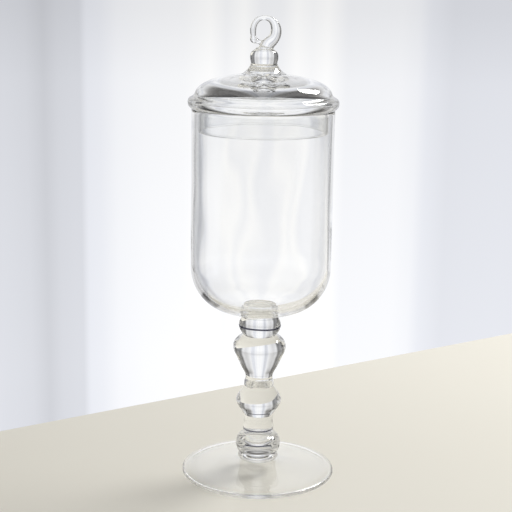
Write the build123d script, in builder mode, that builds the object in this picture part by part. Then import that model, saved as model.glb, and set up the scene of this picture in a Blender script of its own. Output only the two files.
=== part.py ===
"""Footed apothecary jar of blown glass, with a lift-off lid.

Millimetres, +Z up. The origin is the centre of the ring that the foot rests on.
The axis of the jar is the Z axis, and every profile is drawn as (radius, height)
on the XZ plane, where the piece sits on the finished jar.
"""
import os
from math import cos, radians, sin, sqrt

from build123d import *

os.makedirs("parts", exist_ok=True)

# Heights of the joints between the pieces, from the table up
foot_crown = 13.6
collar_top = 20.4
ball_top = 41.0
column_top = 61.2
shoulder_top = 91.2
baluster_top = 144.2
bowl_base = 165.4
bowl_lip = 369.0
lid_seat = bowl_lip + 0.2
lid_crown = 402.0
finial_collar_top = 412.0
finial_bead_top = 425.4

# Radii of the necks where one piece is fused to the next
collar_neck = 15.0
column_neck = 14.7
shoulder_neck = 15.0
waist_neck = 14.6
baluster_neck = 16.2
bowl_neck = 17.2
finial_collar_neck = 12.6
finial_neck = 8.8

# Foot
foot_radius = 77.0
foot_rest_outer = 75.0
foot_rest_inner = 71.5
foot_edge = 5.0
foot_crown_radius = 19.0
foot_kick_radius = 8.0
foot_kick_height = 8.8

# Stem, widest radius of each piece
collar_belly = 20.2
ball_belly = 22.6
column_belly = 15.3
shoulder_belly = 22.8
baluster_belly = 26.5
bead_belly = 21.0

# Bowl
bowl_radius = 69.0
bowl_wall = 2.9
bowl_corner = 44.0
bowl_corner_turn = 70
bowl_floor = 169.8
lip_round = 1.3

# Lid
rim_radius = 72.8
rim_foot_radius = 69.4
dome_foot_radius = 66.2
crown_radius = 21.6
ceiling_radius = 30.0
ceiling_height = 388.8
flange_clearance = 2.5
flange_wall = 3.0
flange_depth = 22.6

# Finial
finial_belly = 13.6
loop_top = 457.0

# The bowl's bottom is a wide curve centred on the axis, with a corner curve tangent to it
corner_inset = bowl_radius - bowl_corner
corner_reach = corner_inset / cos(radians(bowl_corner_turn))
corner_drop = corner_reach * sin(radians(bowl_corner_turn))
outer_curve = corner_reach + bowl_corner
outer_curve_height = bowl_base + sqrt(outer_curve**2 - bowl_neck**2)
inner_curve = outer_curve - bowl_wall
inner_curve_height = bowl_floor + inner_curve

bowl_inner = bowl_radius - bowl_wall
flange_outer = bowl_inner - flange_clearance
flange_inner = flange_outer - flange_wall


def turned_bead(base, top, neck, belly):
    """A flattened bead: half an ellipse swung between two equal flat necks."""
    middle = (base + top) / 2
    with BuildPart() as bead:
        with BuildSketch(Plane.XZ):
            with BuildLine():
                Polyline((neck, top), (0, top), (0, base), (neck, base))
                EllipticalCenterArc((neck, middle), belly - neck, (top - base) / 2,
                                    start_angle=-90, arc_size=180)
            make_face()
        revolve(axis=Axis.Z)
    return bead


def turned_baluster(base_neck, base, swells, top_neck, top):
    """A solid turned piece whose side is one smooth curve through its swells."""
    with BuildPart() as baluster:
        with BuildSketch(Plane.XZ):
            with BuildLine():
                Polyline((top_neck, top), (0, top), (0, base), (base_neck, base))
                Spline((base_neck, base), *swells, (top_neck, top))
            make_face()
        revolve(axis=Axis.Z)
    return baluster


def save(piece, name):
    piece.part.label = name
    export_step(piece.part, "parts/" + name + ".step")


# Foot: a conical disc with a rounded edge, hollowed beneath so it rests on a ring
with BuildPart() as foot_disc:
    with BuildSketch(Plane.XZ):
        with BuildLine():
            Polyline((foot_crown_radius, foot_crown), (0, foot_crown), (0, foot_kick_height),
                     (foot_kick_radius, foot_kick_height), (foot_rest_inner, 0), (foot_rest_outer, 0))
            edge = ThreePointArc((foot_rest_outer, 0), (foot_radius, foot_edge / 2),
                                 (foot_rest_outer - 1, foot_edge))
            ThreePointArc(edge @ 1, (46.0, 8.2), (foot_crown_radius, foot_crown))
        make_face()
    revolve(axis=Axis.Z)
save(foot_disc, "foot_disc")

# Stem, from the foot up
foot_collar = turned_bead(foot_crown, collar_top, collar_neck, collar_belly)
save(foot_collar, "foot_collar")

ball_knop = turned_bead(collar_top, ball_top, column_neck, ball_belly)
save(ball_knop, "ball_knop")

stem_column = turned_baluster(
    column_neck, ball_top,
    [(column_belly, 45.0), (14.7, 53.6)],
    shoulder_neck, column_top)
save(stem_column, "stem_column")

shoulder_knop = turned_baluster(
    shoulder_neck, column_top,
    [(20.2, 69.8), (shoulder_belly, 75.8), (20.4, 81.8)],
    waist_neck, shoulder_top)
save(shoulder_knop, "shoulder_knop")

baluster_knop = turned_baluster(
    waist_neck, shoulder_top,
    [(15.0, 93.2), (13.6, 99.4), (17.0, 109.4), (24.4, 125.0), (baluster_belly, 131.4), (23.6, 139.2)],
    baluster_neck, baluster_top)
save(baluster_knop, "baluster_knop")

bowl_bead = turned_baluster(
    baluster_neck, baluster_top,
    [(bead_belly, 152.4), (19.2, 159.4)],
    bowl_neck, bowl_base)
save(bowl_bead, "bowl_bead")

# Bowl: an even wall, rounded into a thick floor
with BuildPart() as bowl:
    with BuildSketch(Plane.XZ):
        with BuildLine():
            Polyline((0, bowl_floor), (0, bowl_base), (bowl_neck, bowl_base))
            outer_corner = CenterArc((corner_inset, outer_curve_height - corner_drop), bowl_corner,
                                     start_angle=-bowl_corner_turn, arc_size=bowl_corner_turn)
            RadiusArc((bowl_neck, bowl_base), outer_corner @ 0, -outer_curve)
            inner_corner = CenterArc((corner_inset, inner_curve_height - corner_drop),
                                     bowl_corner - bowl_wall,
                                     start_angle=-bowl_corner_turn, arc_size=bowl_corner_turn)
            RadiusArc((0, bowl_floor), inner_corner @ 0, -inner_curve)
            Polyline(outer_corner @ 1, (bowl_radius, bowl_lip), (bowl_inner, bowl_lip), inner_corner @ 1)
        make_face()
    revolve(axis=Axis.Z)
    fillet(bowl.edges().filter_by_position(Axis.Z, bowl_lip, bowl_lip), lip_round)
save(bowl, "bowl")

# Lid flange: the skirt that drops inside the bowl's mouth and centres the lid
with BuildPart() as lid_flange:
    with BuildSketch(Plane.XY.offset(lid_seat - flange_depth)):
        Circle(flange_outer)
        Circle(flange_inner, mode=Mode.SUBTRACT)
    extrude(amount=flange_depth)
    fillet(lid_flange.faces().sort_by(Axis.Z)[0].edges(), lip_round)
save(lid_flange, "lid_flange")

# Lid dome: a rolled rim that rests on the bowl's lip, and a low dome that is thick at the
# crown because its ceiling is nearly flat
with BuildPart() as lid_dome:
    with BuildSketch(Plane.XZ):
        with BuildLine():
            Line((flange_inner, lid_seat), (rim_foot_radius, lid_seat))
            rim = ThreePointArc((rim_foot_radius, lid_seat), (rim_radius, 374.8), (68.6, 380.4))
            groove = TangentArc(rim @ 1, (dome_foot_radius, 383.2), tangent=(-0.9, 1))
            shoulder = ThreePointArc(groove @ 1, (60.6, 390.9), (44.0, 398.0))
            slope = TangentArc(shoulder @ 1, (crown_radius, lid_crown), tangent=shoulder % 1)
            Polyline(slope @ 1, (0, lid_crown), (0, ceiling_height), (ceiling_radius, ceiling_height))
            Spline((ceiling_radius, ceiling_height), (44.0, 387.0), (52.5, 383.2), (58.0, 376.4),
                   (flange_inner, lid_seat), tangents=((1, 0), (0.2, -1)))
        make_face()
    revolve(axis=Axis.Z)
save(lid_dome, "lid_dome")

# Finial: a flared collar, a barrel bead and a bent loop of glass cane
with BuildPart() as finial_collar:
    with BuildSketch(Plane.XZ):
        with BuildLine():
            Polyline((finial_collar_neck, finial_collar_top), (0, finial_collar_top),
                     (0, lid_crown), (crown_radius, lid_crown))
            ThreePointArc((crown_radius, lid_crown), (16.7, 406.4), (finial_collar_neck, finial_collar_top))
        make_face()
    revolve(axis=Axis.Z)
save(finial_collar, "finial_collar")

with BuildPart() as finial_bead:
    with BuildSketch(Plane.XZ):
        with BuildLine():
            Polyline((finial_neck, finial_bead_top), (0, finial_bead_top),
                     (0, finial_collar_top), (finial_collar_neck, finial_collar_top))
            Spline((finial_collar_neck, finial_collar_top), (finial_belly, 417.6), (12.4, 422.8),
                   (finial_neck, finial_bead_top))
        make_face()
    revolve(axis=Axis.Z)
save(finial_bead, "finial_bead")

# The loop's cane: centre (x, z) and radius, from its thick root on the right, over the
# top, to the thin end pressed back onto the root on the left
loop_cane = [
    ((3.2, 430.2), 4.4),
    ((8.6, 435.2), 5.0),
    ((10.8, 442.0), 5.2),
    ((9.0, 449.2), 4.1),
    ((0.6, 454.6), loop_top - 454.6),
    ((-7.4, 451.8), 2.6),
    ((-11.0, 443.6), 2.9),
    ((-9.9, 436.0), 2.9),
    ((-3.8, 431.4), 2.2),
]
root_height = 6.0
with BuildPart() as finial_loop:
    with BuildLine() as bend:
        cane_line = Spline(*[(x, 0, z) for (x, z), _ in loop_cane])
    for (x, z), cane_radius in loop_cane:
        place = cane_line.param_at_point((x, 0, z))
        with BuildSketch(Plane(origin=(x, 0, z), z_dir=cane_line % place)):
            Circle(cane_radius)
    sweep(multisection=True)
    with BuildSketch(Plane.XZ):
        with BuildLine():
            Polyline((0, finial_bead_top + root_height), (0, finial_bead_top),
                     (finial_neck, finial_bead_top))
            Spline((finial_neck, finial_bead_top), (7.8, 428.0), (5.6, 430.2),
                   (0, finial_bead_top + root_height))
        make_face()
    revolve(axis=Axis.Z)
save(finial_loop, "finial_loop")
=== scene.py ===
"""Looks of the footed apothecary jar: thirteen pieces of clear turned and blown glass.

Blender works in metres; the outlines below are in millimetres. An outline is a list of
(radius, rise) points, where rise is the height above the base of the piece's CAD node,
and it is turned about the jar's axis. Where two pieces are fused hot, both meshes are
closed by a joint face that light passes straight through, so the fused glass reads as one.
The dark lines round the stem are painted shade: narrow bands of the outline in near-black glass,
round the front.
"""
from math import cos, pi, radians, sin, tau

import bmesh
import bpy
import numpy as np
from mathutils import Matrix, Vector


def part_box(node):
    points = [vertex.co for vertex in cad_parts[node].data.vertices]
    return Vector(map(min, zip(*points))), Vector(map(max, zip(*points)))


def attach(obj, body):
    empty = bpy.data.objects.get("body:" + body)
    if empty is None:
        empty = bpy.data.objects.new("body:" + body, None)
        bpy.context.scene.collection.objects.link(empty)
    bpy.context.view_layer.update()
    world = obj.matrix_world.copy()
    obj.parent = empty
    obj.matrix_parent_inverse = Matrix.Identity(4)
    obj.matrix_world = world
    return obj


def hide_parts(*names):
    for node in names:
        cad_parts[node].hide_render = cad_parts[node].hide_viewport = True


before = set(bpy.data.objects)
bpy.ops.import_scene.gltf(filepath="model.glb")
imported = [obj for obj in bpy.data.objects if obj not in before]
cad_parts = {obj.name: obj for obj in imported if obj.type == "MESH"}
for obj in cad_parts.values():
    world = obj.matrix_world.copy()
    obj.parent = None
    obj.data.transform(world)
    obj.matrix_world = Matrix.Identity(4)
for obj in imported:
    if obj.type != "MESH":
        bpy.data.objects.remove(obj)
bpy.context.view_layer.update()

MM = 0.001
AROUND = 192                      # sides of a turned mesh
SHARP = radians(38)               # edges bent by more stay crisp
FINE = 0.6                        # spacing of the points on the small pieces' curves
TINY = 1e-6                       # shorter than any length on the jar
# The third slot is painted shade: near-black glass for the dark lines round the stem.
GLASS, JOINT, PAINTED_SHADE = 0, 1, 2    # material slots of every mesh
rng = np.random.default_rng(7)


# ---------------------------------------------------------------- outlines

def span(node):
    """Lowest height, highest height and widest radius of a CAD node, in millimetres."""
    low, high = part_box(node)
    return low.z / MM, high.z / MM, high.x / MM


def flow(points, step=1.0, start=None, end=None):
    """Points along one smooth curve through the given points, about step apart.

    start and end are the curve's directions at its ends; an end without one is left free.
    """
    knots = np.array(points, float)
    chord = np.linalg.norm(np.diff(knots, axis=0), axis=1)
    count = len(knots)
    system = np.zeros((count, count))
    target = np.zeros(knots.shape)
    for i in range(1, count - 1):
        before, after = chord[i - 1], chord[i]
        system[i, i - 1:i + 2] = after, 2 * (before + after), before
        target[i] = 3 * (after * (knots[i] - knots[i - 1]) / before
                         + before * (knots[i + 1] - knots[i]) / after)
    for row, inner, direction in ((0, 1, start), (count - 1, count - 2, end)):
        system[row, row] = 1
        if direction is not None:
            target[row] = np.array(direction, float) / np.linalg.norm(direction)
        else:
            system[row, inner] = 0.5
            first, last = sorted((row, inner))
            target[row] = 1.5 * (knots[last] - knots[first]) / chord[first]
    slopes = np.linalg.solve(system, target)
    curve = [knots[0]]
    for i, length in enumerate(chord):
        pieces = max(2, int(round(length / step)))
        for t in np.arange(1, pieces + 1) / pieces:
            curve.append(knots[i] * (2 * t**3 - 3 * t**2 + 1)
                         + slopes[i] * length * (t**3 - 2 * t**2 + t)
                         + knots[i + 1] * (3 * t**2 - 2 * t**3)
                         + slopes[i + 1] * length * (t**3 - t**2))
    return np.array(curve)


def arc(centre, radii, first, last, step=1.0):
    """Points on an ellipse from angle first to angle last, in degrees from the +radius axis."""
    count = max(4, int(round(abs(radians(last - first)) * max(radii) / step)))
    turn = np.radians(np.linspace(first, last, count + 1))
    return np.column_stack([centre[0] + radii[0] * np.cos(turn),
                            centre[1] + radii[1] * np.sin(turn)])


def straight(first, last, step=3.0):
    """Points on a straight line, about step apart."""
    count = max(1, int(round(np.hypot(last[0] - first[0], last[1] - first[1]) / step)))
    return np.linspace(first, last, count + 1)


def chain(*parts):
    """Joins runs of points end to end; the points where they meet are kept once."""
    joined = [np.array(parts[0], float)]
    for part in parts[1:]:
        part = np.array(part, float)
        meets = np.allclose(part[0], joined[-1][-1], atol=TINY)
        joined.append(part[1:] if meets else part)
    return np.vstack(joined)


# ---------------------------------------------------------------- the unevenness of blown glass

def waver(count, turns, length, size):
    """Random waves round the axis and up it: (turns, rate, phase, size) of each.

    turns and length are the least and the most of a wave's turns round the axis and of its
    length up it; size is the most that a wave moves the wall, in millimetres.
    """
    return [(rng.integers(turns[0], turns[1] + 1), tau / rng.uniform(*length),
             rng.uniform(0, tau), size * rng.uniform(0.5, 1)) for _ in range(count)]


outer_waver = waver(6, (1, 4), (50, 170), 0.035)
inner_waver = waver(10, (2, 9), (70, 300), 0.045)
STEADY_RADIUS = 15.0


def uneven(radius, height, angle, share):
    """Radius with the waver added; share is how much of it is the inner wall's own."""
    waved = sum(size * np.sin(turns * angle + rate * height + phase)
                for turns, rate, phase, size in outer_waver)
    if share > 0:
        waved = waved + share * sum(size * np.sin(turns * angle + rate * height + phase)
                                    for turns, rate, phase, size in inner_waver)
    return radius + waved * min(1.0, radius / STEADY_RADIUS)


# ---------------------------------------------------------------- turned meshes

# How much of the inner wall's own waver a run has, at its first and its last point
OUTER = (0.0, 0.0)
INNER = (1.0, 1.0)
LIP_IN = (0.0, 1.0)
LIP_OUT = (1.0, 0.0)
TOOLED = (4.0, 1.0)

# How far a band of painted shade goes round the front: the sine of the angle that it ends at
HALF_ROUND = 0.1
FRONT_ONLY = -0.8


def lathe(name, base, runs, lift=None, shade_end=HALF_ROUND):
    """Turns an outline into a closed mesh.

    runs lists (finish, shares of waver, points), end to end from the lower axis outwards
    and up to the upper axis, or round and back to where it began. lift(radius, rise, angles)
    is added to the heights. A band of painted shade stays where the sine of the angle is under the
    last argument.
    """
    outline, shares, finishes = [], [], []
    for finish, (first, last), points in runs:
        weights = np.linspace(first, last, len(points))
        skip = 1 if outline else 0
        outline.extend(points[skip:])
        shares.extend(weights[skip:])
        finishes.extend([finish] * (len(points) - 1))
    ring_shaped = np.allclose(outline[0], outline[-1], atol=TINY) and outline[0][0] > 0
    if ring_shaped:
        outline.pop()
    angles = np.arange(AROUND) * tau / AROUND
    verts, starts = [], []
    for (radius, rise), share in zip(outline, shares):
        starts.append(len(verts))
        height = base + rise
        if radius < TINY:
            verts.append((0, 0, height * MM))
        else:
            radii = uneven(radius, height, angles, share) * MM
            heights = height + (lift(radius, rise, angles) if lift else 0 * angles)
            verts.extend(zip(radii * np.cos(angles), radii * np.sin(angles), heights * MM))
    faces, face_finish = [], []
    for i, finish in enumerate(finishes):
        low, high = i, (i + 1) % len(outline)
        for j in range(AROUND):
            k = (j + 1) % AROUND
            if outline[low][0] < TINY:
                face = (starts[low], starts[high] + k, starts[high] + j)
            elif outline[high][0] < TINY:
                face = (starts[low] + j, starts[low] + k, starts[high])
            else:
                face = (starts[low] + j, starts[low] + k, starts[high] + k, starts[high] + j)
            faces.append(face)
            # Faces of painted shade that lie beyond the front go back to clear glass.
            beyond = finish == PAINTED_SHADE and sin(angles[j]) > shade_end
            face_finish.append(GLASS if beyond else finish)
    mesh = bpy.data.meshes.new(name)
    mesh.from_pydata([tuple(float(c) for c in v) for v in verts], [], faces)
    mesh.polygons.foreach_set("material_index", face_finish)
    mesh.polygons.foreach_set("use_smooth", [True] * len(faces))
    mesh.set_sharp_from_angle(angle=SHARP)
    mesh.update()
    return mesh


def disc(radius, rise, outwards):
    """The outline of a joint face: from the axis out, or back in to it."""
    run = straight((0, rise), (radius, rise), 6.0)
    return (JOINT, OUTER, run if outwards else run[::-1])


def turned(node, neck_low, side, neck_high, lift=None, shade_band=(0, 0), shade_end=HALF_ROUND):
    """A solid turned piece between two joint faces, with a band of painted shade from rise to rise.
    """
    base, top, _ = span(node)
    runs = [disc(neck_low, 0, True)]
    for first, last in zip(side, side[1:]):
        # Outline segments inside the band are painted shade.
        shaded = shade_band[0] < (first[1] + last[1]) / 2 < shade_band[1]
        runs.append((PAINTED_SHADE if shaded else GLASS, OUTER, [first, last]))
    runs.append(disc(neck_high, top - base, False))
    return lathe(node + "_glass", base, runs, lift, shade_end)


# ---------------------------------------------------------------- materials

REFRACTION = 1.5
TO_SCATTERED = 0.98               # what one surface lets through to the table's scattered light


def new_material(name):
    material = bpy.data.materials.new(name)
    material.use_nodes = True
    material.node_tree.nodes.clear()
    return material, material.node_tree.nodes, material.node_tree.links


def make_glass(name, tint, cord_scale, cord_height, haze, shade):
    """Clear glass: faint drawn cords in its surface, a little uneven haze, light shadows.

    cord_scale is the cords' waves per metre along x, y and z, cord_height their depth in
    millimetres, haze the most roughness, and shade what one surface lets through to a shadow.
    """
    material, nodes, links = new_material(name)
    output = nodes.new("ShaderNodeOutputMaterial")
    glass = nodes.new("ShaderNodeBsdfPrincipled")
    glass.inputs["Base Color"].default_value = (*tint, 1)
    glass.inputs["Transmission Weight"].default_value = 1.0
    glass.inputs["IOR"].default_value = REFRACTION

    where = nodes.new("ShaderNodeTexCoord")
    stretch = nodes.new("ShaderNodeMapping")
    stretch.inputs["Scale"].default_value = cord_scale
    cords = nodes.new("ShaderNodeTexNoise")
    cords.inputs["Scale"].default_value = 1.0
    cords.inputs["Detail"].default_value = 2.0
    cords.inputs["Roughness"].default_value = 0.45
    bump = nodes.new("ShaderNodeBump")
    bump.inputs["Strength"].default_value = 1.0
    bump.inputs["Distance"].default_value = cord_height * MM
    links.new(where.outputs["Object"], stretch.inputs["Vector"])
    links.new(stretch.outputs["Vector"], cords.inputs["Vector"])
    links.new(cords.outputs["Fac"], bump.inputs["Height"])
    links.new(bump.outputs["Normal"], glass.inputs["Normal"])

    film = nodes.new("ShaderNodeTexNoise")
    film.inputs["Scale"].default_value = 60.0
    film.inputs["Detail"].default_value = 4.0
    dull = nodes.new("ShaderNodeMapRange")
    dull.inputs["From Min"].default_value = 0.35
    dull.inputs["From Max"].default_value = 0.75
    dull.inputs["To Min"].default_value = 0.0
    dull.inputs["To Max"].default_value = haze
    links.new(where.outputs["Object"], film.inputs["Vector"])
    links.new(film.outputs["Fac"], dull.inputs["Value"])
    links.new(dull.outputs["Result"], glass.inputs["Roughness"])

    path = nodes.new("ShaderNodeLightPath")
    surface = glass.outputs[0]
    for ray, passed in (("Is Diffuse Ray", TO_SCATTERED), ("Is Shadow Ray", shade)):
        pane = nodes.new("ShaderNodeBsdfTransparent")
        pane.inputs["Color"].default_value = (passed, passed, passed, 1)
        mix = nodes.new("ShaderNodeMixShader")
        links.new(path.outputs[ray], mix.inputs[0])
        links.new(surface, mix.inputs[1])
        links.new(pane.outputs[0], mix.inputs[2])
        surface = mix.outputs[0]
    links.new(surface, output.inputs["Surface"])
    return material


def make_joint_material():
    """The inside of a fused joint: light passes straight through it."""
    material, nodes, links = new_material("fused_joint")
    output = nodes.new("ShaderNodeOutputMaterial")
    clear = nodes.new("ShaderNodeBsdfTransparent")
    links.new(clear.outputs[0], output.inputs["Surface"])
    return material


def make_painted_shade_material():
    """Near-black glass that paints in the shade of the dark lines round the stem's necks and the
    bead's seam.
    """
    material, nodes, links = new_material("painted_shade_glass")
    output = nodes.new("ShaderNodeOutputMaterial")
    glass = nodes.new("ShaderNodeBsdfPrincipled")
    # Near-black colour: painted shade, not the glass's own tint.
    glass.inputs["Base Color"].default_value = (0.012, 0.013, 0.025, 1)
    glass.inputs["Transmission Weight"].default_value = 1.0
    glass.inputs["IOR"].default_value = REFRACTION
    glass.inputs["Roughness"].default_value = 0.05
    links.new(glass.outputs[0], output.inputs["Surface"])
    return material


SOLID_TINT = (0.99, 0.995, 0.994)
WALL_TINT = (0.997, 0.999, 0.999)
LID_TINT = (0.993, 0.997, 0.996)

joint_material = make_joint_material()
painted_shade_material = make_painted_shade_material()
materials = {
    "foot_glass": make_glass("foot_glass", SOLID_TINT, (40, 40, 90), 0.02, 0.03, 0.95),
    "stem_glass": make_glass("stem_glass", SOLID_TINT, (60, 60, 25), 0.02, 0.02, 0.76),
    "bowl_glass": make_glass("bowl_glass", WALL_TINT, (45, 45, 6), 0.03, 0.02, 0.965),
    "lid_glass": make_glass("lid_glass", LID_TINT, (30, 30, 60), 0.02, 0.02, 0.94),
    "finial_glass": make_glass("finial_glass", SOLID_TINT, (60, 60, 60), 0.02, 0.02, 0.72),
}


def place(mesh, node, body, slot):
    """Puts a finished mesh in the scene for its CAD node."""
    piece = bpy.data.objects.new(mesh.name, mesh)
    bpy.context.scene.collection.objects.link(piece)
    # Every mesh gets its glass, the see-through joint and the near-black glass of painted shade.
    for material in (materials[slot], joint_material, painted_shade_material):
        mesh.materials.append(material)
    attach(piece, body)
    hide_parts(node)


# ---------------------------------------------------------------- the jar, from the foot up

# Radii where one piece is fused to the next
COLLAR_NECK = 15.0
COLUMN_NECK = 14.7
SHOULDER_NECK = 15.0
WAIST_NECK = 14.6
BALUSTER_NECK = 16.2
BOWL_NECK = 17.2
CROWN_NECK = 21.6
FINIAL_NECK = 12.6
LOOP_NECK = 8.8

# Bands of painted shade round the front of the stem, from rise to rise; the bead's band is also
# where its seam groove is cut
BALL_SHADE = (12.6, 13.6)
COLUMN_SHADE = (4.6, 5.6)
SHOULDER_SHADE = (4.0, 4.5)
BEAD_SEAM_SHADE = (9.0, 10.7)
SEAM_DEPTH = 1.4
SEAM_SWAY = 0.7


def build_foot():
    base, top, wide = span("foot_disc")
    hollow = flow([(0, 9.0), (8, 8.8), (22, 6.4), (50, 2.8), (70.5, 0.5), (73.2, 0)], 2.0,
                  start=(1, 0))
    edge = flow([(73.2, 0), (75.6, 0.5), (wide, 2.5), (75.8, 4.4), (73.0, 5.2)], 0.5, start=(1, 0))
    slope = flow([(73.0, 5.2), (60.0, 6.6), (46.0, 8.2), (30.0, 10.6), (21.0, 12.5),
                  (17.0, 13.35), (COLLAR_NECK, top - base)], 1.5)
    return lathe("foot_disc_glass", base, [
        (GLASS, OUTER, hollow),
        (GLASS, OUTER, edge),
        (GLASS, OUTER, slope),
        disc(COLLAR_NECK, top - base, False),
    ])


def build_foot_collar():
    """A flattened bead whose side swells to the node's own width."""
    base, top, wide = span("foot_collar")
    rise = top - base
    side = flow([(COLLAR_NECK, 0), (COLLAR_NECK + 0.75 * (wide - COLLAR_NECK), 0.16 * rise),
                 (wide, 0.5 * rise),
                 (COLUMN_NECK + 0.75 * (wide - COLUMN_NECK), 0.84 * rise), (COLUMN_NECK, rise)],
                FINE, start=(1, 0.25), end=(-1, 0.25))
    return turned("foot_collar", COLLAR_NECK, side, COLUMN_NECK)


def build_ball():
    base, top, wide = span("ball_knop")
    lower = flow([(COLUMN_NECK, 0), (19.6, 1.8), (22.0, 6.6), (wide, 10.0)], FINE,
                 start=(1, 0.2), end=(0.12, 1))
    upper = flow([(wide, 10.0), (20.9, 16.4), (COLUMN_NECK, top - base)], FINE,
                 start=(-0.12, 1), end=(-1, 0.3))
    return turned("ball_knop", COLUMN_NECK, chain(lower, upper), COLUMN_NECK,
                  shade_band=BALL_SHADE, shade_end=FRONT_ONLY)


def build_column():
    base, top, wide = span("stem_column")
    side = flow([(COLUMN_NECK, 0), (wide, 4.0), (14.7, 12.6), (SHOULDER_NECK, top - base)], FINE)
    return turned("stem_column", COLUMN_NECK, side, SHOULDER_NECK, shade_band=COLUMN_SHADE)


def build_shoulder():
    base, top, wide = span("shoulder_knop")
    side = flow([(SHOULDER_NECK, 0), (20.2, 8.6), (wide, 14.6), (20.4, 20.6),
                 (WAIST_NECK, top - base)], 0.5)
    return turned("shoulder_knop", SHOULDER_NECK, side, WAIST_NECK,
                  shade_band=SHOULDER_SHADE, shade_end=FRONT_ONLY)


def build_baluster():
    base, top, wide = span("baluster_knop")
    side = flow([(WAIST_NECK, 0), (15.0, 2.0), (13.6, 8.2), (17.0, 18.2), (24.4, 33.8),
                 (wide, 40.2), (23.6, 48.0), (BALUSTER_NECK, top - base)])
    return turned("baluster_knop", WAIST_NECK, side, BALUSTER_NECK)


def build_bowl_bead():
    """The bead under the bowl, with a seam groove that wanders up and down a little and is darkened
    by painted shade.
    """
    base, top, wide = span("bowl_bead")
    seam_low, seam_high = BEAD_SEAM_SHADE
    lower = flow([(BALUSTER_NECK, 0), (19.6, 4.6), (wide, seam_low)], FINE, end=(0.1, 1))
    seam = [(wide, seam_low), (wide - SEAM_DEPTH, seam_low + 0.3), (wide - 0.2, seam_high)]
    upper = flow([(wide - 0.2, seam_high), (19.9, 13.8), (18.0, 17.8), (BOWL_NECK, top - base)],
                 FINE, start=(-0.05, 1))

    def sway(radius, rise, angles):
        wander = np.sin(2 * angles + 1.1) + 0.8 * np.sin(3 * angles)
        return SEAM_SWAY * sin(pi * rise / (top - base)) * wander

    return turned("bowl_bead", BALUSTER_NECK, chain(lower, seam, upper), BOWL_NECK, sway,
                  shade_band=BEAD_SEAM_SHADE)


BOWL_WALL = 2.9
BOWL_CORNER = 44.0
BOWL_CORNER_TURN = 70
BOWL_FLOOR = 4.4


def bowl_side(corner, curve_height, curve_radius, inset, reach, first_radius, top):
    """Half the outline of the bowl: wide bottom curve, corner curve, straight wall."""
    drop = reach * sin(radians(BOWL_CORNER_TURN))
    start = np.degrees(np.arcsin(first_radius / curve_radius)) - 90
    bottom = arc((0, curve_height), (curve_radius, curve_radius), start, -BOWL_CORNER_TURN, 2.0)
    corner_run = arc((inset, curve_height - drop), (corner, corner), -BOWL_CORNER_TURN, 0, 2.0)
    wall = straight(corner_run[-1], (inset + corner, top), 3.0)
    return chain(bottom, corner_run, wall)


def build_bowl():
    base, top, wide = span("bowl")
    inset = wide - BOWL_CORNER
    reach = inset / cos(radians(BOWL_CORNER_TURN))
    outer_curve = reach + BOWL_CORNER
    outer_height = (outer_curve**2 - BOWL_NECK**2) ** 0.5
    inner_curve = outer_curve - BOWL_WALL
    inner_height = BOWL_FLOOR + inner_curve
    lip_rise = top - base
    round_off = BOWL_WALL / 2
    outer = bowl_side(BOWL_CORNER, outer_height, outer_curve, inset, reach, BOWL_NECK,
                      lip_rise - round_off)
    lip = arc((wide - round_off, lip_rise - round_off), (round_off, round_off), 0, 180, 0.6)
    inner = bowl_side(BOWL_CORNER - BOWL_WALL, inner_height, inner_curve, inset, reach, 0,
                      lip_rise - round_off)
    return lathe("bowl_glass_body", base, [
        disc(BOWL_NECK, 0, True),
        (GLASS, OUTER, outer),
        (GLASS, LIP_IN, lip),
        (GLASS, INNER, inner[::-1]),
    ])


FLANGE_WALL = 3.0
CROWN_UNDERSIDE = 19.6
FLUTE_REACH = 18.0
FLUTE_SIZE = 0.75


def build_flange():
    base, top, wide = span("lid_flange")
    rise = top - base
    inner = wide - FLANGE_WALL
    bottom = arc((wide - FLANGE_WALL / 2, FLANGE_WALL / 2), (FLANGE_WALL / 2, FLANGE_WALL / 2),
                 -180, 0, 0.6)
    return lathe("lid_flange_glass", base, [
        (GLASS, LIP_OUT, bottom),
        (GLASS, OUTER, straight(bottom[-1], (wide, rise), 2.0)),
        (JOINT, LIP_IN, straight((wide, rise), (inner, rise), 2.0)),
        (GLASS, INNER, straight((inner, rise), bottom[0], 2.0)),
    ])


def build_dome():
    base, top, wide = span("lid_dome")
    rise = top - base
    _, _, flange_outer = span("lid_flange")
    flange_inner = flange_outer - FLANGE_WALL
    plug = flow([(0, CROWN_UNDERSIDE), (12.0, CROWN_UNDERSIDE), (30.0, 19.4)], start=(1, 0))
    ceiling = flow([(30.0, 19.4), (44.0, 17.7), (52.5, 13.8), (58.0, 7.2), (flange_inner, 0)], 1.2)
    seat = straight((flange_outer, 0), (69.0, 0), 1.5)
    rim = flow([(69.0, 0), (71.9, 2.2), (wide, 5.6), (71.6, 9.4), (68.8, 11.2),
                (66.6, 13.2), (64.8, 17.0), (60.6, 21.7), (53.6, 25.7), (44.0, 28.8),
                (32.0, 31.2), (CROWN_NECK, rise)], 0.8, start=(1, 0.1))

    def flutes(radius, rise, angles):
        """Tool marks that ray out under the solid crown."""
        if rise > CROWN_UNDERSIDE + 0.1 or radius > FLUTE_REACH:
            return 0 * angles
        marks = np.sin(9 * angles) + 0.7 * np.sin(14 * angles + 1)
        return FLUTE_SIZE * sin(pi * radius / FLUTE_REACH) * marks

    return lathe("lid_dome_glass", base, [
        (GLASS, TOOLED, plug),
        (GLASS, INNER, ceiling),
        (JOINT, LIP_OUT, straight((flange_inner, 0), (flange_outer, 0), 2.0)),
        (GLASS, OUTER, seat),
        (GLASS, OUTER, rim),
        disc(CROWN_NECK, rise, False),
    ], flutes)


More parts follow.
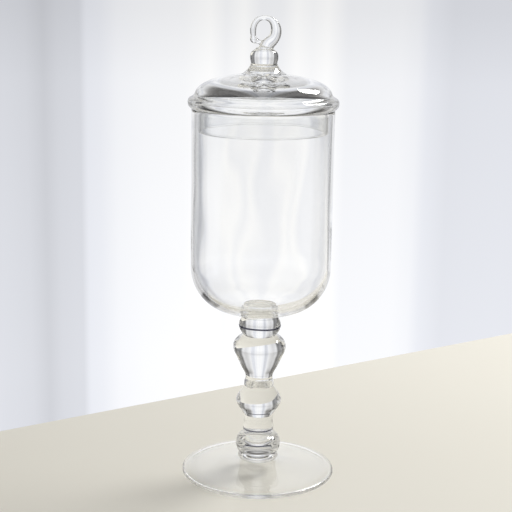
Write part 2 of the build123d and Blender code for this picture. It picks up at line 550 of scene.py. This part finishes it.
def build_finial_collar():
    base, top, _ = span("finial_collar")
    side = flow([(CROWN_NECK, 0), (17.6, 2.6), (14.2, 6.6), (FINIAL_NECK, top - base)], FINE)
    return turned("finial_collar", CROWN_NECK, side, FINIAL_NECK)


def build_finial_bead():
    base, top, wide = span("finial_bead")
    side = flow([(FINIAL_NECK, 0), (wide, 5.6), (12.4, 10.8), (LOOP_NECK, top - base)], FINE)
    return turned("finial_bead", FINIAL_NECK, side, LOOP_NECK)


CANE_SIDES = 40
LOOP_VOXEL = 0.3
LOOP_ROOT_RISE = 2.8


def cane(bm, stations):
    """A tube along stations of (x, z, radius) in the loop's own plane, closed at its ends."""
    points = flow(stations, FINE)
    ahead = np.gradient(points[:, :2], axis=0)
    ahead /= np.linalg.norm(ahead, axis=1)[:, None]
    rings = []
    for (x, z, radius), (dx, dz) in zip(points, ahead):
        ring = []
        for j in range(CANE_SIDES):
            turn = j * tau / CANE_SIDES
            out, across = radius * cos(turn), radius * sin(turn)
            ring.append(bm.verts.new(((x - dz * out) * MM, across * MM, (z + dx * out) * MM)))
        rings.append(ring)
    for low, high in zip(rings, rings[1:]):
        for j in range(CANE_SIDES):
            k = (j + 1) % CANE_SIDES
            bm.faces.new((low[j], low[k], high[k], high[j]))
    bm.faces.new(rings[0][::-1])
    bm.faces.new(rings[-1])


def bend_cane(base, top):
    """The rough finial: the cane's arch, its tail pressed onto the root, and the root's mound."""
    bm = bmesh.new()
    arch = [(1.5, 0.6, 6.9), (2.6, 3.4, 6.6), (5.2, 6.4, 6.0), (8.8, 10.4, 5.4), (10.8, 16.6, 5.2),
            (9.4, 23.4, 4.3), (5.4, 27.8, 3.0), (0.2, top - base - 2.2, 2.2), (-5.6, 28.2, 2.4),
            (-9.6, 23.8, 2.8), (-11.0, 18.0, 2.9), (-10.6, 12.4, 2.5)]
    tail = [(-10.7, 12.6, 2.2), (-10.2, 9.2, 3.5), (-7.4, 7.6, 2.5), (-3.8, 6.4, 2.3),
            (1.0, 5.0, 3.2)]
    for stations in (arch, tail):
        cane(bm, [(x, base + rise, radius) for x, rise, radius in stations])
    root = bmesh.ops.create_uvsphere(bm, u_segments=64, v_segments=32, radius=1.0)
    bmesh.ops.scale(bm, vec=Vector((LOOP_NECK, LOOP_NECK, LOOP_ROOT_RISE)) * MM, verts=root["verts"])
    bmesh.ops.translate(bm, vec=(0, 0, base * MM), verts=root["verts"])
    bmesh.ops.recalc_face_normals(bm, faces=bm.faces)
    rough = bpy.data.meshes.new("loop_rough")
    bm.to_mesh(rough)
    bm.free()
    return rough


def fuse(rough):
    """The rough mesh melted into one skin by a fine remesh, as a bmesh."""
    source = bpy.data.objects.new("loop_rough", rough)
    bpy.context.scene.collection.objects.link(source)
    remesh = source.modifiers.new("fuse", "REMESH")
    remesh.mode = "VOXEL"
    remesh.voxel_size = LOOP_VOXEL * MM
    melt = source.modifiers.new("melt", "SMOOTH")
    melt.factor = 0.5
    melt.iterations = 14
    evaluated = source.evaluated_get(bpy.context.evaluated_depsgraph_get())
    bm = bmesh.new()
    bm.from_mesh(evaluated.to_mesh())
    evaluated.to_mesh_clear()
    bpy.data.objects.remove(source)
    bpy.data.meshes.remove(rough)
    return bm


def build_loop():
    """The bent cane of the finial, cut off flat and closed by a joint face at its base."""
    base, top, _ = span("finial_loop")
    bm = fuse(bend_cane(base, top))
    bmesh.ops.bisect_plane(bm, geom=bm.verts[:] + bm.edges[:] + bm.faces[:], dist=1e-7,
                           plane_co=(0, 0, base * MM), plane_no=(0, 0, 1), clear_inner=True)
    open_edges = [edge for edge in bm.edges if edge.is_boundary]
    cap = bmesh.ops.contextual_create(bm, geom=open_edges)["faces"]
    for face in bm.faces:
        face.smooth = True
    for face in cap:
        face.material_index = JOINT
        face.smooth = False
        for edge in face.edges:
            edge.smooth = False
    bmesh.ops.recalc_face_normals(bm, faces=bm.faces)
    mesh = bpy.data.meshes.new("finial_loop_glass")
    bm.to_mesh(mesh)
    bm.free()
    return mesh


for build, node, body, slot in (
    (build_foot, "foot_disc", "jar", "foot_glass"),
    (build_foot_collar, "foot_collar", "jar", "stem_glass"),
    (build_ball, "ball_knop", "jar", "stem_glass"),
    (build_column, "stem_column", "jar", "stem_glass"),
    (build_shoulder, "shoulder_knop", "jar", "stem_glass"),
    (build_baluster, "baluster_knop", "jar", "stem_glass"),
    (build_bowl_bead, "bowl_bead", "jar", "stem_glass"),
    (build_bowl, "bowl", "jar", "bowl_glass"),
    (build_flange, "lid_flange", "lid", "lid_glass"),
    (build_dome, "lid_dome", "lid", "lid_glass"),
    (build_finial_collar, "finial_collar", "lid", "finial_glass"),
    (build_finial_bead, "finial_bead", "lid", "finial_glass"),
    (build_loop, "finial_loop", "lid", "finial_glass"),
):
    place(build(), node, body, slot)


# ---------------------------------------------------------------- table, room and light

TABLE_GAP = 0.0002
TABLE_DEPTH = 0.03
TABLE_EDGE = (Vector((-0.283, 0.102)), Vector((0.368, 0.531)))    # two places on the far edge
TABLE_LENGTH = 3.0                                                # past each of them
TABLE_WIDTH = 5.0                                                 # from the edge towards the camera


def build_table():
    """A cream tabletop whose far edge runs slantwise behind the jar."""
    near, far = TABLE_EDGE
    along = (far - near).normalized()
    across = Vector((along.y, -along.x))
    left, right = near - along * TABLE_LENGTH, far + along * TABLE_LENGTH
    corners = [left, right, right + across * TABLE_WIDTH, left + across * TABLE_WIDTH]
    bm = bmesh.new()
    top = [bm.verts.new((c.x, c.y, -TABLE_GAP)) for c in corners]
    bottom = [bm.verts.new((c.x, c.y, -TABLE_DEPTH)) for c in corners]
    bm.faces.new(top)
    bm.faces.new(bottom[::-1])
    for i in range(4):
        j = (i + 1) % 4
        bm.faces.new((top[i], bottom[i], bottom[j], top[j]))
    bmesh.ops.recalc_face_normals(bm, faces=bm.faces)
    mesh = bpy.data.meshes.new("tabletop")
    bm.to_mesh(mesh)
    bm.free()
    table = bpy.data.objects.new("tabletop", mesh)
    bpy.context.scene.collection.objects.link(table)
    bevel = table.modifiers.new("eased_edge", "BEVEL")
    bevel.width = 0.003
    bevel.segments = 3
    mesh.materials.append(make_table_top())


def make_table_top():
    """Cream paint, very slightly mottled."""
    material, nodes, links = new_material("cream_top")
    output = nodes.new("ShaderNodeOutputMaterial")
    paint = nodes.new("ShaderNodeBsdfPrincipled")
    paint.inputs["Roughness"].default_value = 0.55
    paint.inputs["Specular IOR Level"].default_value = 0.3
    where = nodes.new("ShaderNodeTexCoord")
    mottle = nodes.new("ShaderNodeTexNoise")
    mottle.inputs["Scale"].default_value = 3.0
    mottle.inputs["Detail"].default_value = 3.0
    tone = nodes.new("ShaderNodeValToRGB")
    tone.color_ramp.elements[0].color = (0.77, 0.745, 0.67, 1)
    tone.color_ramp.elements[1].color = (0.80, 0.78, 0.71, 1)
    links.new(where.outputs["Object"], mottle.inputs["Vector"])
    links.new(mottle.outputs["Fac"], tone.inputs["Fac"])
    links.new(tone.outputs["Color"], paint.inputs["Base Color"])
    links.new(paint.outputs[0], output.inputs["Surface"])
    return material


# Brightness of the room by bearing, in degrees clockwise from straight ahead: bright round
# the front and the back, with a dim panel in a dark gap at 45 degrees to either side
ROOM = [(-180, 1.0), (-169, 0.95), (-157, 0.5), (-146, 0.8), (-124, 0.85), (-112, 0.5),
        (-101, 0.85), (-82, 0.7), (-76, 0.1), (-66, 0.02), (-57, 0.04), (-51, 0.2), (-45, 0.34),
        (-39, 0.2), (-34, 0.22), (-30, 0.85), (-23, 0.72), (-17, 0.88), (-12, 0.97), (12, 0.98),
        (17, 0.92), (23, 0.76), (30, 0.9), (34, 0.25), (39, 0.2), (45, 0.34), (51, 0.2),
        (57, 0.04), (66, 0.02), (76, 0.1), (82, 0.7), (180, 1.0)]
# The pale folds that hang behind the jar, over the width of the view
FOLDS = [(-14, 1.0), (-13.2, 0.9), (-11.9, 0.77), (-10.5, 0.73), (-9.7, 0.66), (-9.1, 0.72),
         (-8.4, 0.74), (-8.1, 0.74), (-7.8, 0.86), (-7.2, 0.88), (-6.4, 0.95), (-5.2, 0.98),
         (-3.4, 1.0), (-2.2, 1.06), (-1.5, 0.99), (-0.7, 1.06), (0.1, 0.97), (1.0, 0.98),
         (1.7, 1.06), (2.4, 1.02), (3.1, 1.06), (4.0, 0.96), (6.4, 0.97), (7.2, 0.94),
         (7.7, 0.87), (8.7, 0.81), (9.8, 0.82), (11.9, 0.83), (13.2, 0.9), (14, 1.0)]
# Brightness by the sine of the elevation: the pale walls end under a dim ceiling
RISE = [(-1.0, 0.6), (-0.5, 0.95), (-0.3, 1.0), (-0.17, 0.98), (-0.08, 0.96), (-0.02, 0.83),
        (0.05, 0.8), (0.25, 0.88), (0.34, 0.68), (0.42, 0.34), (0.53, 0.16), (0.8, 0.14),
        (1.0, 0.2)]
# The folds ahead are lit from behind, so they stay bright far higher up
CURTAIN = [(-1.0, 0.6), (-0.5, 1.0), (-0.3, 1.05), (-0.17, 1.0), (-0.08, 0.96), (-0.02, 0.84),
           (0.03, 0.86), (0.1, 1.0), (0.3, 1.05), (0.62, 1.0), (0.75, 0.5), (1.0, 0.2)]
# Where the folds hang: their share by bearing
AHEAD = [(-180, 0.0), (-19, 0.0), (-11, 1.0), (11, 1.0), (19, 0.0), (180, 0.0)]
# What the dark stops of a ramp are tinted with, and the brightness that takes no tint
COOL, NEUTRAL, WARM = (0.965, 0.985, 1.05), (1.0, 1.0, 1.0), (1.0, 0.96, 0.91)
FULL_WHITE = 1.06
FOLD_TINTING = 5.0


def build_room():
    """A world of light that depends only on the direction that it comes from."""
    world = bpy.data.worlds.new("room")
    bpy.context.scene.world = world
    world.use_nodes = True
    nodes, links = world.node_tree.nodes, world.node_tree.links
    nodes.clear()
    direction = nodes.new("ShaderNodeTexCoord")
    split = nodes.new("ShaderNodeSeparateXYZ")
    links.new(direction.outputs["Generated"], split.inputs[0])
    turn = nodes.new("ShaderNodeMath")
    turn.operation = "ARCTAN2"
    links.new(split.outputs["X"], turn.inputs[0])
    links.new(split.outputs["Y"], turn.inputs[1])
    bearing = nodes.new("ShaderNodeMath")
    bearing.operation = "MULTIPLY"
    links.new(turn.outputs[0], bearing.inputs[0])
    bearing.inputs[1].default_value = 180 / pi

    def ramp(value, stops, dark_tint, tinting=1.0):
        """Colour from (value, brightness) stops; the darker a stop, the more tint it takes."""
        low, high = stops[0][0], stops[-1][0]
        scale = nodes.new("ShaderNodeMapRange")
        scale.inputs["From Min"].default_value = low
        scale.inputs["From Max"].default_value = high
        made = nodes.new("ShaderNodeValToRGB")
        elements = made.color_ramp.elements
        elements.remove(elements[-1])
        for i, (at, brightness) in enumerate(stops):
            position = (at - low) / (high - low)
            element = elements[0] if i == 0 else elements.new(position)
            element.position = position
            depth = min(1.0, max(0.0, (FULL_WHITE - brightness) * tinting))
            element.color = (*[brightness * (1 + (tint - 1) * depth) for tint in dark_tint], 1)
        links.new(value, scale.inputs["Value"])
        links.new(scale.outputs[0], made.inputs["Fac"])
        return made.outputs["Color"]

    # The colour sockets of this node are its inputs 6 and 7 and its output 2
    upwards = nodes.new("ShaderNodeMix")
    upwards.data_type = "RGBA"
    links.new(ramp(bearing.outputs[0], AHEAD, NEUTRAL), upwards.inputs["Factor"])
    links.new(ramp(split.outputs["Z"], RISE, WARM), upwards.inputs[6])
    links.new(ramp(split.outputs["Z"], CURTAIN, NEUTRAL), upwards.inputs[7])
    mixed = upwards.outputs[2]
    for layer in (ramp(bearing.outputs[0], ROOM, NEUTRAL),
                  ramp(bearing.outputs[0], FOLDS, COOL, FOLD_TINTING)):
        blend = nodes.new("ShaderNodeVectorMath")
        blend.operation = "MULTIPLY"
        links.new(mixed, blend.inputs[0])
        links.new(layer, blend.inputs[1])
        mixed = blend.outputs[0]
    background = nodes.new("ShaderNodeBackground")
    links.new(mixed, background.inputs["Color"])
    output = nodes.new("ShaderNodeOutputWorld")
    links.new(background.outputs[0], output.inputs["Surface"])


KEY_BEARING = radians(38)
KEY_RISE = radians(48)
KEY_REACH = 3.4
KEY_TARGET = Vector((0, 0, 0.1))
KEY_SIZE = 1.3
KEY_POWER = 117
KEY_COLOUR = (1.0, 0.99, 0.965)


def build_key():
    """A soft square window light from behind on the right; the glass doesn't show it through."""
    towards = Vector((cos(KEY_BEARING) * cos(KEY_RISE), sin(KEY_BEARING) * cos(KEY_RISE),
                      sin(KEY_RISE)))
    light = bpy.data.lights.new("window_key", "AREA")
    light.size = KEY_SIZE
    light.energy = KEY_POWER
    light.color = KEY_COLOUR
    lamp = bpy.data.objects.new("window_key", light)
    lamp.location = towards * KEY_REACH
    lamp.rotation_euler = (KEY_TARGET - lamp.location).to_track_quat("-Z", "Y").to_euler()
    lamp.visible_transmission = False
    bpy.context.scene.collection.objects.link(lamp)


CAMERA_AT = (-0.0049, -1.203, 0.4906)
CAMERA_PITCH = radians(77.5)
CAMERA_ROLL = radians(0.9)
CAMERA_LENS = 87.9
CAMERA_SENSOR = 36.0


def build_camera():
    camera = bpy.data.cameras.new("camera")
    camera.lens = CAMERA_LENS
    camera.sensor_width = CAMERA_SENSOR
    eye = bpy.data.objects.new("camera", camera)
    eye.matrix_world = (Matrix.Translation(CAMERA_AT) @ Matrix.Rotation(CAMERA_PITCH, 4, "X")
                        @ Matrix.Rotation(CAMERA_ROLL, 4, "Z"))
    bpy.context.scene.collection.objects.link(eye)
    bpy.context.scene.camera = eye


build_table()
build_room()
build_key()
build_camera()

scene = bpy.context.scene
scene.view_settings.view_transform = "Standard"
# Light runs far round inside the foot and the rim before it leaves
LONG_WAY = 160
scene.cycles.max_bounces = LONG_WAY
scene.cycles.transmission_bounces = LONG_WAY
scene.cycles.glossy_bounces = LONG_WAY
scene.cycles.transparent_max_bounces = 64
scene.cycles.sample_clamp_indirect = 4.0
